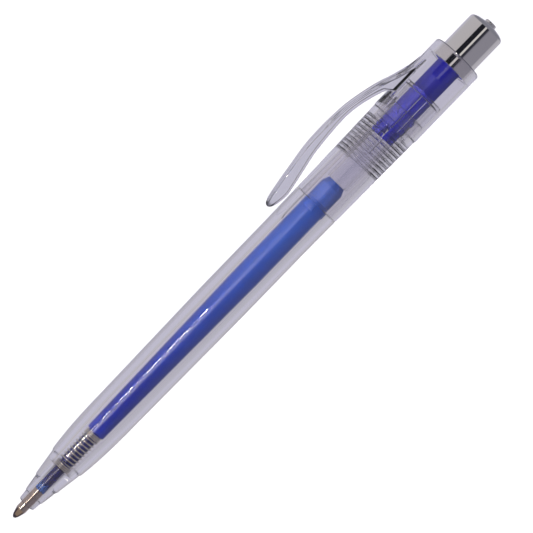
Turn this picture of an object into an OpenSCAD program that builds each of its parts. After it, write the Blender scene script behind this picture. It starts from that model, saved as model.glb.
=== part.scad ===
// Retractable gel pen with a clear screw-together barrel, a moulded pocket clip and a click button.
// The pen lies along +X with its ball at the origin. The clip points along +Y.

/* [Overall] */
// Place of the seam between the lower and the upper barrel, from the tip
seam_x = 89.7; // [74:0.1:110]
// Visible length of the upper barrel
upper_len = 23.2; // [19:0.1:28]
// Length of the clip cap
cap_len = 18.9; // [17:0.1:24]
// Length of button that stands out of the cap in the writing position
button_out = 9.2; // [6:0.1:12]

/* [Lower barrel] */
// Front face of the nose, from the tip
nose_x = 3.85; // [3.4:0.05:4.6]
// Radius of the nose at its front
nose_r = 1.92; // [1.8:0.01:2.3]
// Rounding of the nose's front edge
nose_round = 0.3; // [0.1:0.05:0.5]
// Place of the nose's first ring step
step_1_x = 6.0; // [5:0.1:7]
// Radius in front of the first ring step
step_1_r = 2.1; // [2:0.01:2.3]
// Place of the second ring step
step_2_x = 9.75; // [8:0.05:11]
// Radius in front of the second ring step
step_2_r = 2.83; // [2.6:0.01:3.1]
// Place of the third ring step
step_3_x = 15.8; // [15:0.05:18]
// Radius in front of the third ring step
step_3_r = 3.9; // [3.6:0.01:4.2]
// Rise of each ring step
step_rise = 0.18; // [0.05:0.01:0.3]
// Length of each ring step's slope
step_len = 0.4; // [0.2:0.05:0.8]
// End of the swelling behind the nose
belly_x = 31.5; // [28:0.1:38]
// Amount by which the swelling is thinner than the seam, in radius
belly_fall = 0.45; // [0.2:0.01:0.84]
// Length of the true cylinder where a holder grips
land_len = 18; // [10:0.5:24]
// Distance from the end of that cylinder to the seam
land_back = 9.7; // [7:0.1:14]
// Amount by which that cylinder is thinner than the seam, in radius
land_fall = 0.1; // [-0.26:0.01:0.34]
// Height of the shoulder at the seam
seam_shoulder = 1.22; // [1:0.01:1.6]
// Amount by which the bore narrows towards the nose, in radius
bore_draft = 0.33; // [0:0.01:0.4]
// Radius of the chamber that holds the front coils of the spring
spring_room_r = 2.2; // [2.15:0.01:2.5]
// Seat of the spring, from the tip
spring_seat_x = 14.2; // [13.5:0.05:15]
// Length of the spring chamber before it widens
spring_room_len = 3.4; // [2:0.1:5]

/* [Screw joint] */
// Wall of the lower barrel's spigot
spigot_wall = 0.94; // [0.8:0.01:1.4]
// Length of the plain part of the spigot
spigot_plain = 11.3; // [10:0.1:12]
// Length of the threaded part
thread_len = 10.5; // [8:0.1:10.8]
// Thread pitch
thread_pitch = 1.03; // [0.8:0.01:1.25]
// Thread depth
thread_depth = 0.28; // [0.15:0.01:0.35]
// Radial clearance of the spigot
spigot_gap = 0.06; // [0.03:0.01:0.1]
// Gap left between two faces that meet
face_gap = 0.05; // [0.02:0.01:0.1]
// Radial gap left between two walls pressed into each other
press_gap = 0.03; // [0.01:0.01:0.05]

/* [Upper barrel and cap] */
// Wall of the upper barrel's rear spigot
joint_wall = 0.72; // [0.5:0.01:1]
// Height of the shoulder that the cap meets
cap_shoulder = 0.76; // [0.5:0.01:1]
// Wall of the cap
cap_wall = 0.84; // [0.7:0.01:1.27]
// Rounding of the cap's rear edge
cap_round = 0.6; // [0.2:0.05:0.8]
// Length of the joint
joint_len = 3.1; // [2:0.1:4]
// Length of the lip that guides the button
lip_len = 3.0; // [2:0.1:4]
// Depth of that lip inside the cap
lip_depth = 0.6; // [0.3:0.01:1]

/* [Clip] */
// Width of the clip at its root
clip_w = 5.4; // [4:0.1:6]
// Width of the clip near its free end
clip_end_w = 3.4; // [2.5:0.1:4]
// Length of the clip's free arm
clip_len = 33.5; // [27:0.1:40]
// Height of the clip's outer face above the cap, at its highest
clip_rise = 4.47; // [4:0.01:6]
// Thickness of the arm at its root
clip_root_t = 1.1; // [0.8:0.05:1.5]
// Thickness at the swelling near the free end
clip_end_t = 2.3; // [1.8:0.05:2.6]
// Gap between the clip and the barrel at the swelling
clip_gap = 0.9; // [0.4:0.05:1.2]
// Place of the clip's root, behind the front of the cap
clip_root_in = 3.1; // [2:0.1:4]
// Length of the root that blends into the cap
clip_blend = 10.5; // [6:0.1:12]
// Depth of the root's outer face below the clip's highest line
root_drop = 2.0; // [1.5:0.1:2.5]

/* [Click button] */
// Distance that the point moves back into the pen
click_travel = 4.8; // [4:0.1:5.8]
// Distance that the button moves past the writing position
press_past = 1.2; // [0.8:0.1:1.5]
// Radial clearance of the button in the lip
button_gap = 0.08; // [0.05:0.01:0.1]
// Wall of the button
button_wall = 0.5; // [0.4:0.05:0.8]
// Length of button inside the lip
button_in = 2.9; // [1:0.1:3]
// Rounding of the button's rear edge
button_round = 0.9; // [0.3:0.05:1.2]
// Height of the button's dome
button_dome = 0.5; // [0.2:0.05:0.8]
// Radius of the pip on the button's end
pip_r = 1.35; // [0.8:0.05:1.8]
// Height of the pip
pip_h = 0.6; // [0.2:0.05:0.9]
// Radius of the plunger
plunger_r = 2.8; // [2.3:0.01:3.36]
// Bore radius of the plunger
plunger_bore_r = 1.7; // [1.2:0.05:2]
// Clearance of the plunger's head inside the button
head_gap = 0.03; // [0.02:0.01:0.1]
// Height of the teeth on the plunger's front
crown_h = 2.4; // [1:0.1:3]
// Number of teeth on the plunger's front
crown_teeth = 8; // [4:1:12]

/* [Cam mechanism] */
// Length of the cam sleeve
sleeve_len = 9.7; // [8.5:0.1:11]
// Number of stop ribs and of rotor fins
cams = 4; // [3:1:5]
// Angle that a rib takes up
rib_angle = 26; // [20:1:30]
// Angle that a fin takes up
fin_angle = 12; // [8:1:14]
// Height of the ribs, which is the depth of the grooves between them
rib_h = 0.35; // [0.3:0.005:0.65]
// Running clearance of the fins, the keys and the plunger
slide_gap = 0.08; // [0.05:0.01:0.1]
// Height of the rotor's fins
fin_h = 0.45; // [0.35:0.01:0.6]
// Wall of the rotor's tube
rotor_wall = 0.6; // [0.4:0.05:0.9]
// Length of the rotor's fins
fin_len = 4.0; // [2:0.1:6]
// Distance from the fins to the ribs in the writing position
cam_drop = 2.7; // [2.4:0.1:3.2]
// Gap between the lower barrel's end and the cam sleeve
sleeve_gap = 0.2; // [0.1:0.1:0.5]
// Distance from the rotor's fins to the plunger's teeth
crown_gap = 0.1; // [0.05:0.05:0.3]
// Play of the keys in their grooves beyond the click's travel
key_play = 0.3; // [0.1:0.1:1]
// Length of the collar that closes the grooves
collar_len = 0.8; // [0.5:0.1:1.2]
// Length of the keys on the plunger
key_len = 1.0; // [0.6:0.1:1.5]

/* [Refill] */
// Radius of the writing ball
ball_r = 0.35; // [0.25:0.01:0.5]
// Radius of the metal point
point_r = 1.15; // [1.1:0.01:1.2]
// End of the metal point's cone
cone_x = 2.36; // [2:0.05:4]
// Rear end of the visible metal point
point_x = 8.0; // [7:0.1:9]
// Length of the point's shank inside its holder
shank_len = 3.0; // [2:0.1:4]
// Radius of the point's shank
shank_r = 0.8; // [0.6:0.05:0.9]
// Radius of the point holder's neck
neck_r = 1.2; // [1.15:0.01:1.3]
// Front face of the ink tube, where the spring bears
shoulder_x = 24.6; // [23:0.1:27]
// Radius of the ink tube at its front
tube_front_r = 2.12; // [1.95:0.01:2.2]
// Clearance of the ink tube in the barrel
tube_gap = 0.11; // [0.1:0.01:0.4]
// Share of the ink tube's length over which it widens
tube_taper = 0.69; // [0.4:0.01:0.85]
// Wall of the ink tube
tube_wall = 0.45; // [0.3:0.05:0.6]
// Length of ink tube behind the seam
tube_past = 0.8; // [-1.7:0.1:2]
// Clearance of the nib that centres the tube in the barrel
nib_gap = 0.06; // [0.03:0.01:0.1]
// Length of the nib
nib_len = 1.5; // [1:0.1:3]
// Distance from the front of the nib to the rear of the tube
nib_back = 2.4; // [1.6:0.1:5]
// Amount by which the end plug is thinner than the tube, in radius
plug_fall = 0.08; // [0.02:0.01:0.3]
// Length of the end plug behind the tube
plug_len = 5.3; // [4:0.1:6]
// Length of the end plug inside the tube
plug_in = 3.0; // [2:0.1:5]
// Length of the holder's foot inside the ink tube
foot_len = 5; // [2:0.1:8]
// Bore radius of the point's holder
holder_bore_r = 0.55; // [0.4:0.05:0.7]
// Distance from the spring's seat to the thicker part of the holder, inside the spring
holder_step = 1.8; // [1.6:0.1:6]
// Gap between that thicker part and the spring
holder_gap = 0.1; // [0.05:0.01:0.3]
// Length of tube behind the ink
ink_back = 10; // [8:0.5:50]
// Length of the grease follower behind the ink
follower_len = 4.0; // [2:0.1:5]
// Smallest gap, left between pieces and coils that rest on each other
rest_gap = 0.02; // [0.01:0.01:0.05]

/* [Spring] */
// Wire radius
wire_r = 0.2; // [0.15:0.01:0.22]
// Outer radius of the spring
spring_r = 2.02; // [1.9:0.01:2.05]
// Number of open turns
open_turns = 8.5; // [6:0.5:10]
// Number of close turns at each end
close_turns = 3; // [2:0.5:3]

/* [Hidden] */

// Circle segments of a turned piece
round_fn = 96;
// Small overlap that makes two shapes one
fuse = 0.01;
// Length of a lead-in at the end of a bore or a rib
lead = 0.2;
// Chamfer at the end of the thread
thread_lead = 0.1;
// Free length in front of the point holder when the button is pressed
neck_play = 0.35;
// Thickness of the ink tube's front wall, and the length over which its bore opens
tube_front_t = 1.0;
// Depth of the plunger's solid end inside the button
plunger_end_t = 3;
// Chamfer of the end plug: length and height
plug_chamfer = [1.4, 0.6];
// Play of the end plug in the tube, at its front and at its rear
plug_play = [0.15, 0.05];
// Radius of the vent through the end plug
plug_vent_r = 0.4;
// Radius and end of the ink channel in the metal point, and of its narrow front part
channel_r = 0.45;
channel_x = 2.2;
feed_r = 0.14;
feed_x = 1.7;

// Places along the pen that several pieces share
land_end_x = seam_x - land_back;
land_x = land_end_x - land_len;
tube_x = seam_x + tube_past;
ink_x = tube_x - ink_back;
nib_x = tube_x - nib_back;
upper_x = seam_x + face_gap;
cap_x = seam_x + upper_len;
cap_end_x = cap_x + cap_len;
spigot_x = seam_x + spigot_plain + thread_len;
joint_x = cap_x + joint_len;
button_x = cap_end_x - button_in;
button_end_x = cap_end_x + button_out;
plug_x = tube_x + plug_len;
sleeve_x = spigot_x + sleeve_gap;
sleeve_end_x = sleeve_x + sleeve_len;
fin_end_x = sleeve_x - cam_drop;
crown_x = fin_end_x + crown_gap;
key_x = sleeve_end_x - collar_len - click_travel - key_len - key_play;
foot_x = shoulder_x + foot_len;
neck_bore_x = point_x - press_past - neck_play;
tube_full_x = shoulder_x + tube_taper * (tube_x - shoulder_x);
pivot_x = cap_x + clip_root_in;

// Radii, each from the piece inside it: plunger, ribs, barrel, cap
rib_r = plunger_r + slide_gap;
groove_r = rib_r + rib_h;
bore_rear_r = groove_r - face_gap;
bore_front_r = bore_rear_r - bore_draft;
spigot_r = bore_rear_r + spigot_wall;
seam_r = spigot_r + seam_shoulder;
land_r = seam_r - land_fall;
belly_r = seam_r - belly_fall;
upper_bore_r = spigot_r + spigot_gap;
joint_r = upper_bore_r + joint_wall;
upper_rear_r = joint_r + cap_shoulder;
cap_bore_r = joint_r + press_gap;
cap_r = cap_bore_r + cap_wall;
lip_r = cap_bore_r - lip_depth;
clip_top = cap_r + clip_rise;

// Radii of what runs inside them
button_r = lip_r - button_gap;
head_r = button_r - button_wall - head_gap;
fin_r = bore_rear_r - slide_gap - rest_gap;
rotor_r = fin_r - fin_h;
nose_bore_r = point_r + slide_gap;
neck_bore_r = neck_r + slide_gap;
tube_rear_r = bore_front_r - tube_gap;
plug_r = tube_rear_r - plug_fall;
nib_r = bore_at(nib_x - press_past) - nib_gap;
holder_r = spring_r - 2 * wire_r - holder_gap;

// Radius of the lower barrel's bore at a place behind the swelling
function bore_at(x) = bore_front_r + bore_draft * (x - belly_x) / (spigot_x - belly_x);

// Ink tube radius at a place along the pen
function tube_r(x) =
    tube_front_r
    + (tube_rear_r - tube_front_r) * min(1, (x - shoulder_x) / (tube_full_x - shoulder_x));

// Smooth curve through a list of points, n steps between each two
function pick(p, i) = p[max(0, min(len(p) - 1, i))];
function between(a, b, c, d, t) =
    0.5 * (2 * b + (c - a) * t + (2 * a - 5 * b + 4 * c - d) * t * t + (3 * b - a - 3 * c + d) * t * t * t);
function smooth(p, n) = [
    for (i = [0 : len(p) - 2], k = [0 : n - 1])
        between(pick(p, i - 1), p[i], p[i + 1], pick(p, i + 2), k / n),
    p[len(p) - 1]
];

// Quarter arc from angle a to angle b about a centre
function arc(centre, r, a, b, n = 8) =
    [for (i = [0 : n]) centre + r * [cos(a + (b - a) * i / n), sin(a + (b - a) * i / n)]];

// Turns an outline of [place along the pen, radius] points about the pen's axis
module turned(outline) {
    rotate([0, 90, 0])
        rotate_extrude($fn = round_fn)
            polygon([for (p = outline) [p[1], p[0]]]);
}

// A tube between two places
module tube(x0, x1, r_out, r_in) {
    turned([[x0, r_in], [x0, r_out], [x1, r_out], [x1, r_in]]);
}

// A wedge of angle wide, about the angle at, from the axis out to radius r
module wedge(x0, x1, r, at, wide) {
    reach = 2 * r;
    rotate([at, 0, 0])
        translate([x0, 0, 0])
            rotate([0, 90, 0])
                linear_extrude(x1 - x0)
                    polygon([[0, 0], [reach * sin(wide / 2), reach * cos(wide / 2)],
                             [-reach * sin(wide / 2), reach * cos(wide / 2)]]);
}

// Saw-tooth outline of a thread, from crest radius crest to root radius root
function thread_outline(x0, crest, root) = [
    for (i = [0 : floor(thread_len / thread_pitch) - 1], k = [0 : 3])
        [x0 + thread_pitch * (i + [0.1, 0.35, 0.65, 0.9][k]), [crest, root, root, crest][k]]
];

// Place and radius of a point on the swelling behind the nose
function belly(t) = [
    step_3_x + step_len + (belly_x - step_3_x - step_len) * t,
    belly_r - (belly_r - step_3_r - step_rise) * pow(1 - t, 2.5)
];

// Clear lower barrel: stepped nose, swelling, grip cylinder and threaded spigot
module lower_barrel() {
    thread_x = seam_x + spigot_plain;
    outline = concat(
        [[nose_x, nose_bore_r]],
        arc([nose_x + nose_round, nose_r - nose_round], nose_round, 180, 90),
        [[step_1_x, step_1_r], [step_1_x + step_len, step_1_r + step_rise],
         [step_2_x, step_2_r], [step_2_x + step_len, step_2_r + step_rise],
         [step_3_x, step_3_r]],
        [for (i = [0 : 12]) belly(i / 12)],
        [[land_x, land_r], [land_end_x, land_r], [seam_x, seam_r],
         [seam_x, spigot_r], [thread_x, spigot_r]],
        thread_outline(thread_x, spigot_r, spigot_r - thread_depth),
        [[spigot_x - thread_lead, spigot_r], [spigot_x, spigot_r - thread_lead], [spigot_x, bore_rear_r],
         [belly_x, bore_front_r],
         [spring_seat_x + spring_room_len, spring_room_r], [spring_seat_x, spring_room_r],
         [spring_seat_x, neck_bore_r], [neck_bore_x, neck_bore_r], [neck_bore_x - lead, nose_bore_r]]);
    color([0.74, 0.74, 0.8, 0.35])
        turned(outline);
}

// Clear upper barrel: threaded bore and a spigot that the cap is pressed on
module upper_barrel() {
    thread_x = seam_x + spigot_plain;
    color([0.74, 0.74, 0.8, 0.35])
        turned(concat(
            [[upper_x, upper_bore_r], [upper_x, seam_r], [cap_x, upper_rear_r],
             [cap_x, joint_r], [joint_x, joint_r], [joint_x, upper_bore_r]],
            [for (i = [len(thread_outline(0, 0, 0)) - 1 : -1 : 0])
                thread_outline(thread_x, upper_bore_r, upper_bore_r + thread_depth)[i]]));
}

// Outline of the clip's outer face, from its root towards its free end. Each point of the arm is
// [share of the arm from its root, depth below the clip's highest line].
function clip_outer() =
    let (end_x = pivot_x - clip_len,
         end_r = land_r + clip_gap + 0.5 * clip_end_t,
         arm = [[0, root_drop], [0.19, 0.55], [0.37, 0.03], [0.55, 0.1], [0.74, 0.95], [0.92, 1.9]])
    smooth(concat(
        [[pivot_x + clip_blend, cap_r - 0.35],
         [pivot_x + 0.72 * clip_blend, cap_r + 0.1],
         [pivot_x + 0.36 * clip_blend, clip_top - root_drop - 1.3]],
        [for (p = arm) [pivot_x - p[0] * clip_len, clip_top - p[1]]],
        [[end_x + 0.4, end_r + 0.45], [end_x, end_r]]
    ), 5);

// Outline of the clip's underside, from its free end towards its root. Each point of the arm is
// [share of the arm from its free end, depth below the clip's highest line].
function clip_inner() =
    let (end_x = pivot_x - clip_len,
         end_r = land_r + clip_gap + 0.5 * clip_end_t,
         low = land_r + clip_gap,
         arm = [[0.32, clip_end_t + 0.6], [0.46, 2.0], [0.69, clip_root_t + 0.3],
                [0.84, clip_root_t + 0.75], [1, clip_root_t + root_drop]])
    smooth(concat(
        [[end_x, end_r], [end_x + 0.5, end_r - 0.5],
         [end_x + 0.07 * clip_len, low + 0.16],
         [end_x + 0.135 * clip_len, low],
         [end_x + 0.2 * clip_len, low + 0.36]],
        [for (p = arm) [end_x + p[0] * clip_len, clip_top - p[1]]]
    ), 5);

// Outline of the clip seen from outside, widest at its root
module clip_plan() {
    end_x = pivot_x - clip_len;
    nose = 0.42 * clip_end_w;
    shoulder = end_x + 0.09 * clip_len;
    side = smooth([[end_x, 0.25 * nose], [end_x + 0.35, 0.7 * nose], [end_x + 1.1, 1.0 * nose],
                   [shoulder, 0.5 * clip_end_w], [pivot_x, 0.5 * clip_w]], 5);
    polygon(concat(
        side,
        [[pivot_x + clip_blend + 1, 0.5 * clip_w], [pivot_x + clip_blend + 1, -0.5 * clip_w]],
        [for (i = [len(side) - 1 : -1 : 0]) [side[i][0], -side[i][1]]]));
}

// The clip's side outline, given the width that the plan leaves
module clip_solid(outline) {
    intersection() {
        translate([0, 0, -clip_w])
            linear_extrude(2 * clip_w)
                polygon(outline);
        rotate([90, 0, 0])
            translate([0, 0, -2 * clip_top])
                linear_extrude(4 * clip_top)
                    clip_plan();
    }
}

// Clear cap: press fit on the upper barrel, guide lip for the button, root of the clip
module clip_cap() {
    root = [for (p = clip_outer()) if (p[0] > pivot_x) p];
    color([0.74, 0.74, 0.8, 0.35])
        union() {
            turned(concat(
                [[cap_x + face_gap, cap_bore_r], [cap_x + face_gap, cap_r]],
                arc([cap_end_x - cap_round, cap_r - cap_round], cap_round, 90, 0),
                [[cap_end_x, lip_r], [cap_end_x - lip_len, lip_r], [cap_end_x - lip_len, cap_bore_r]]));
            clip_solid(concat(
                root,
                [[pivot_x + face_gap, clip_top - root_drop - fuse],
                 [pivot_x + face_gap, clip_top - root_drop - clip_root_t],
                 [pivot_x + 0.5, cap_r - 0.1], [pivot_x + 0.5, cap_bore_r + 0.04],
                 [pivot_x + clip_blend, cap_bore_r + 0.04]]));
        }
}

// Clear clip arm, which flexes about its root
module clip_arm() {
    outer = [for (p = clip_outer()) if (p[0] <= pivot_x) p];
    color([0.74, 0.74, 0.8, 0.35])
        clip_solid(concat(outer, [for (i = [1 : len(clip_inner()) - 1]) clip_inner()[i]]));
}

// Clear sleeve inside the cap: stop ribs, grooves between them, and the collar that keeps the plunger in
module cam_sleeve() {
    color([0.8, 0.8, 0.86, 0.5])
        union() {
            turned([[sleeve_x, groove_r], [sleeve_x, upper_bore_r - slide_gap],
                    [joint_x + face_gap, upper_bore_r - slide_gap], [joint_x + face_gap, joint_r],
                    [sleeve_end_x, joint_r], [sleeve_end_x, rib_r],
                    [sleeve_end_x - collar_len, rib_r], [sleeve_end_x - collar_len, groove_r]]);
            for (i = [0 : cams - 1])
                intersection() {
                    tube(sleeve_x, sleeve_end_x - collar_len + fuse, groove_r + lead, rib_r);
                    wedge(sleeve_x, sleeve_end_x, groove_r + 2 * lead, i * 360 / cams, rib_angle);
                }
        }
}

// Chromed button: a thin cup with a domed end and a pip
module push_button() {
    end_x = button_end_x - button_dome;
    inner_r = button_r - button_wall;
    color([0.78, 0.78, 0.82])
        turned(concat(
            [[button_x, inner_r], [button_x, button_r]],
            arc([end_x - button_round, button_r - button_round], button_round, 90, 15),
            [[end_x + 0.55 * button_dome, 0.6 * button_r],
             [button_end_x, pip_r], [button_end_x + pip_h - 0.1, pip_r],
             [button_end_x + pip_h, pip_r - 0.15], [button_end_x + pip_h, 0],
             [end_x - button_wall, 0], [end_x - button_wall, inner_r]]));
}

// Dark blue plunger: crown of teeth in front, keys that run in the grooves, head inside the button
module plunger() {
    head_x = button_end_x - button_dome - button_wall - face_gap;
    color([0.19, 0.18, 0.54])
        difference() {
            union() {
                turned([[crown_x, plunger_bore_r], [crown_x, plunger_r], [button_x, plunger_r],
                        [button_x, head_r], [head_x, head_r], [head_x, 0],
                        [button_x - plunger_end_t, 0], [button_x - plunger_end_t, plunger_bore_r]]);
                for (i = [0 : cams - 1])
                    intersection() {
                        tube(key_x, key_x + key_len, groove_r - slide_gap, plunger_r - lead);
                        wedge(key_x, key_x + key_len, groove_r, (i + 0.5) * 360 / cams, 2 * fin_angle);
                    }
            }
            for (i = [0 : crown_teeth - 1])
                wedge(crown_x - fuse, crown_x + crown_h, plunger_r, (i + 0.5) * 360 / crown_teeth,
                      180 / crown_teeth);
        }
}

// Clear rotor: a tube that bears on the refill, with the fins that the ribs stop
module cam_rotor() {
    color([0.78, 0.8, 0.9, 0.5])
        union() {
            tube(plug_x + face_gap, fin_end_x, rotor_r, rotor_r - rotor_wall);
            for (i = [0 : cams - 1])
                intersection() {
                    tube(fin_end_x - fin_len, fin_end_x, fin_r, rotor_r - lead);
                    wedge(fin_end_x - fin_len, fin_end_x, fin_r, i * 360 / cams, fin_angle);
                }
        }
}

// Blue ink tube, slightly tapered, with the nib that centres it
module refill_tube() {
    plug_bore_r = tube_rear_r - tube_wall;
    color([0.26, 0.34, 0.67])
        turned([[shoulder_x, neck_r + rest_gap], [shoulder_x, tube_front_r], [tube_full_x, tube_rear_r],
                [nib_x, tube_rear_r], [nib_x + lead, nib_r], [nib_x + nib_len - lead, nib_r],
                [nib_x + nib_len, plug_r], [tube_x, plug_r], [tube_x, plug_bore_r],
                [tube_full_x, plug_bore_r],
                [shoulder_x + tube_front_t + lead, tube_front_r - tube_wall],
                [shoulder_x + tube_front_t, neck_r + rest_gap]]);
}

// Blue holder that carries the metal point
module tip_holder() {
    shank_end_x = point_x + shank_len + 2 * face_gap;
    step_x = spring_seat_x + holder_step;
    color([0.28, 0.4, 0.72])
        turned([[point_x + face_gap, shank_r + rest_gap], [point_x + face_gap, neck_r],
                [step_x, neck_r], [step_x + lead, holder_r], [shoulder_x - rest_gap, holder_r],
                [shoulder_x - rest_gap, neck_r], [foot_x, neck_r], [foot_x, holder_bore_r], [shank_end_x, holder_bore_r],
                [shank_end_x, shank_r + rest_gap]]);
}

// Nickel silver point with the socket of the ball and its ink channel
module point_body() {
    lip_x = ball_r - 0.15;
    socket_r = ball_r + 0.02;
    end_x = point_x + shank_len;
    color([0.66, 0.61, 0.56])
        turned([[lip_x, ball_r - 0.005], [lip_x, ball_r + 0.06], [0.55, 0.62], [1.5, 0.94],
                [cone_x, point_r], [point_x, point_r], [point_x, shank_r], [end_x, shank_r],
                [end_x, channel_r], [channel_x, channel_r], [feed_x, feed_r],
                [2 * ball_r + 0.12, feed_r], [2 * ball_r - 0.04, socket_r], [ball_r, socket_r]]);
}

// Hard metal ball
module writing_ball() {
    color([0.5, 0.5, 0.52])
        translate([ball_r, 0, 0])
            sphere(r = ball_r, $fn = 48);
}

// Lighter blue plug in the rear of the ink tube
module refill_plug() {
    plug_bore_r = tube_rear_r - tube_wall;
    color([0.38, 0.46, 0.75])
        turned([[tube_x - plug_in, plug_vent_r], [tube_x - plug_in, plug_bore_r - plug_play[0]],
                [tube_x, plug_bore_r - plug_play[1]], [tube_x + face_gap, plug_bore_r - plug_play[1]],
                [tube_x + face_gap, plug_r], [plug_x - plug_chamfer[0], plug_r],
                [plug_x, plug_r - plug_chamfer[1]], [plug_x, plug_vent_r]]);
}

// Bore radius of the ink tube at a place along the pen
function ink_r(x) =
    let (front = shoulder_x + tube_front_t + lead)
    tube_front_r - tube_wall - rest_gap
    + (tube_rear_r - tube_front_r) * min(1, (x - front) / (tube_full_x - front));

// Dark blue gel ink
module gel_ink() {
    ink_front_x = foot_x + 2 * face_gap;
    places = concat([ink_front_x], tube_full_x < ink_x ? [tube_full_x] : [], [ink_x]);
    color([0.16, 0.2, 0.5])
        turned(concat([[ink_front_x, 0]], [for (x = places) [x, ink_r(x)]], [[ink_x, 0]]));
}

// Clear grease that follows the ink
module ink_follower() {
    front_x = ink_x + rest_gap;
    rear_x = ink_x + follower_len;
    color([0.7, 0.75, 0.85, 0.5])
        turned([[front_x, 0], [front_x, ink_r(front_x)], [rear_x, ink_r(rear_x)], [rear_x, 0]]);
}

// How far along the pen the spring's wire has come after a number of turns
spring_turns = open_turns + 2 * close_turns;
spring_len = shoulder_x - spring_seat_x - 2 * wire_r - 2 * rest_gap;
close_pitch = 2 * wire_r + rest_gap;
open_pitch = (spring_len - 2 * close_turns * close_pitch) / open_turns;
function spring_rise(turn) =
    turn < close_turns ? turn * close_pitch
    : turn < close_turns + open_turns ? close_turns * close_pitch + (turn - close_turns) * open_pitch
    : spring_len - (spring_turns - turn) * close_pitch;

// Steel return spring, close-wound at both ends
module return_spring() {
    per_turn = 16;
    sides = 6;
    rings = round(spring_turns * per_turn);
    mean_r = spring_r - wire_r;
    start_x = spring_seat_x + wire_r + rest_gap;
    points = [for (i = [0 : rings], k = [0 : sides - 1])
        let (turn = i / per_turn, about = 360 * turn, round_wire = 360 * k / sides,
             r = mean_r + wire_r * cos(round_wire))
        [start_x + spring_rise(turn) + wire_r * sin(round_wire), r * cos(about), r * sin(about)]];
    sides_of_wire = [for (i = [0 : rings - 1], k = [0 : sides - 1])
        let (a = i * sides + k, b = i * sides + (k + 1) % sides)
        for (f = [[a, b, b + sides], [a, b + sides, a + sides]]) f];
    color([0.7, 0.7, 0.72])
        polyhedron(points, concat(
            sides_of_wire,
            [[for (k = [sides - 1 : -1 : 0]) k]],
            [[for (k = [0 : sides - 1]) rings * sides + k]]));
}

lower_barrel();
upper_barrel();
clip_cap();
clip_arm();
cam_sleeve();
push_button();
plunger();
cam_rotor();
refill_tube();
tip_holder();
point_body();
writing_ball();
refill_plug();
gel_ink();
ink_follower();
return_spring();
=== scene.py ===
"""Retractable gel pen with a clear screw-together barrel, a moulded pocket clip and a chromed click button.

The pen lies along +X with its ball at the origin and its clip towards +Y. Lengths are in millimetres and
angles in degrees, as on a drawing, unless a line says otherwise. They become metres where a mesh is made.
"""
import logging
import math
from collections.abc import Callable, Iterable, Sequence
from dataclasses import dataclass
from enum import Enum

import bpy
from mathutils import Matrix, Vector


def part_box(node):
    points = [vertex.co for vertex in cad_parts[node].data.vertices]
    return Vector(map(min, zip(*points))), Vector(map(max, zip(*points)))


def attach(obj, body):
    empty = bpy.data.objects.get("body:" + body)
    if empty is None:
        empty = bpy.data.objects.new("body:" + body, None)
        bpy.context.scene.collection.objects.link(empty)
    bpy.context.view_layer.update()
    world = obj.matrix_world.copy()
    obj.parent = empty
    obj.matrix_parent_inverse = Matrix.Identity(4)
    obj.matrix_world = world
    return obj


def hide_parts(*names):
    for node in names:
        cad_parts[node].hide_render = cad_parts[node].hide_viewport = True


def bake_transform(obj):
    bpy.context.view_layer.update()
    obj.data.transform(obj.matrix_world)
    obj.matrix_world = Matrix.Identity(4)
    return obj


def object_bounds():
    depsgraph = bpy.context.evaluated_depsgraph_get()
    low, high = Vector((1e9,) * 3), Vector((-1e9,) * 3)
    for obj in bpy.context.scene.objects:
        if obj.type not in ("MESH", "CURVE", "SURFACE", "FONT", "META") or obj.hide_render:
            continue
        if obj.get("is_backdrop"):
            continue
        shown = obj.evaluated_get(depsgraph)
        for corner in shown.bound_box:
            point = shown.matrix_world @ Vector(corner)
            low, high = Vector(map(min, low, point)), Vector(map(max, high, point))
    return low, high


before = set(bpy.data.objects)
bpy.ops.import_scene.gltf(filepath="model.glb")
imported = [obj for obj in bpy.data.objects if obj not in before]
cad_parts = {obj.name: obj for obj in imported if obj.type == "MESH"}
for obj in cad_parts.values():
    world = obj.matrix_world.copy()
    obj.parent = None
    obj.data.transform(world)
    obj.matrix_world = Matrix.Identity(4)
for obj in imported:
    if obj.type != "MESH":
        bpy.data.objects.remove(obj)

logging.basicConfig(level=logging.INFO, format="%(name)s: %(message)s")
LOG = logging.getLogger("gel_pen")

MM = 0.001
AXIS = (1.0, 0.0, 0.0)
CENTRE = (0.0, 0.0, 0.0)
PRESS_GAP = 0.05
GLUE_GAP = 0.02
WAVE_PER_TURN = 0.314  # wave texture scale that gives one ring in each unit of length

Point = tuple[float, float]
Colour = tuple[float, float, float, float]
Piece = bpy.types.Object
Material = bpy.types.Material
Tree = bpy.types.NodeTree
Node = bpy.types.Node
Socket = bpy.types.NodeSocket


class Body(Enum):
    """The bodies that pieces ride on."""

    CASING = "casing"
    CLIP = "clip"
    BUTTON = "button"
    REFILL = "refill"
    ROTOR = "rotor"
    BALL = "ball"
    FRONT = "front"


class Slot(Enum):
    """The record's material slots."""

    CLEAR = "clear_plastic"
    CLEAR_INNER = "clear_inner_plastic"
    CHROME = "chrome"
    NAVY = "navy_plastic"
    BLUE = "blue_plastic"
    LIGHT_BLUE = "light_blue_plastic"
    NICKEL_SILVER = "nickel_silver"
    CARBIDE = "carbide"
    INK = "gel_ink"
    GREASE = "clear_grease"
    SPRING = "spring_steel"


# ---- Bench tools: how every piece is drawn, turned, cut and finished ----


def clear_bench() -> None:
    """Leaves edit mode and deselects every object."""
    if bpy.context.mode != "OBJECT":
        bpy.ops.object.mode_set(mode="OBJECT")
    bpy.ops.object.select_all(action="DESELECT")


def take(piece: Piece) -> None:
    """Makes a piece the only selected object and the active one.

    Args:
        piece: The piece to work on.
    """
    clear_bench()
    piece.select_set(True)
    bpy.context.view_layer.objects.active = piece


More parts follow.
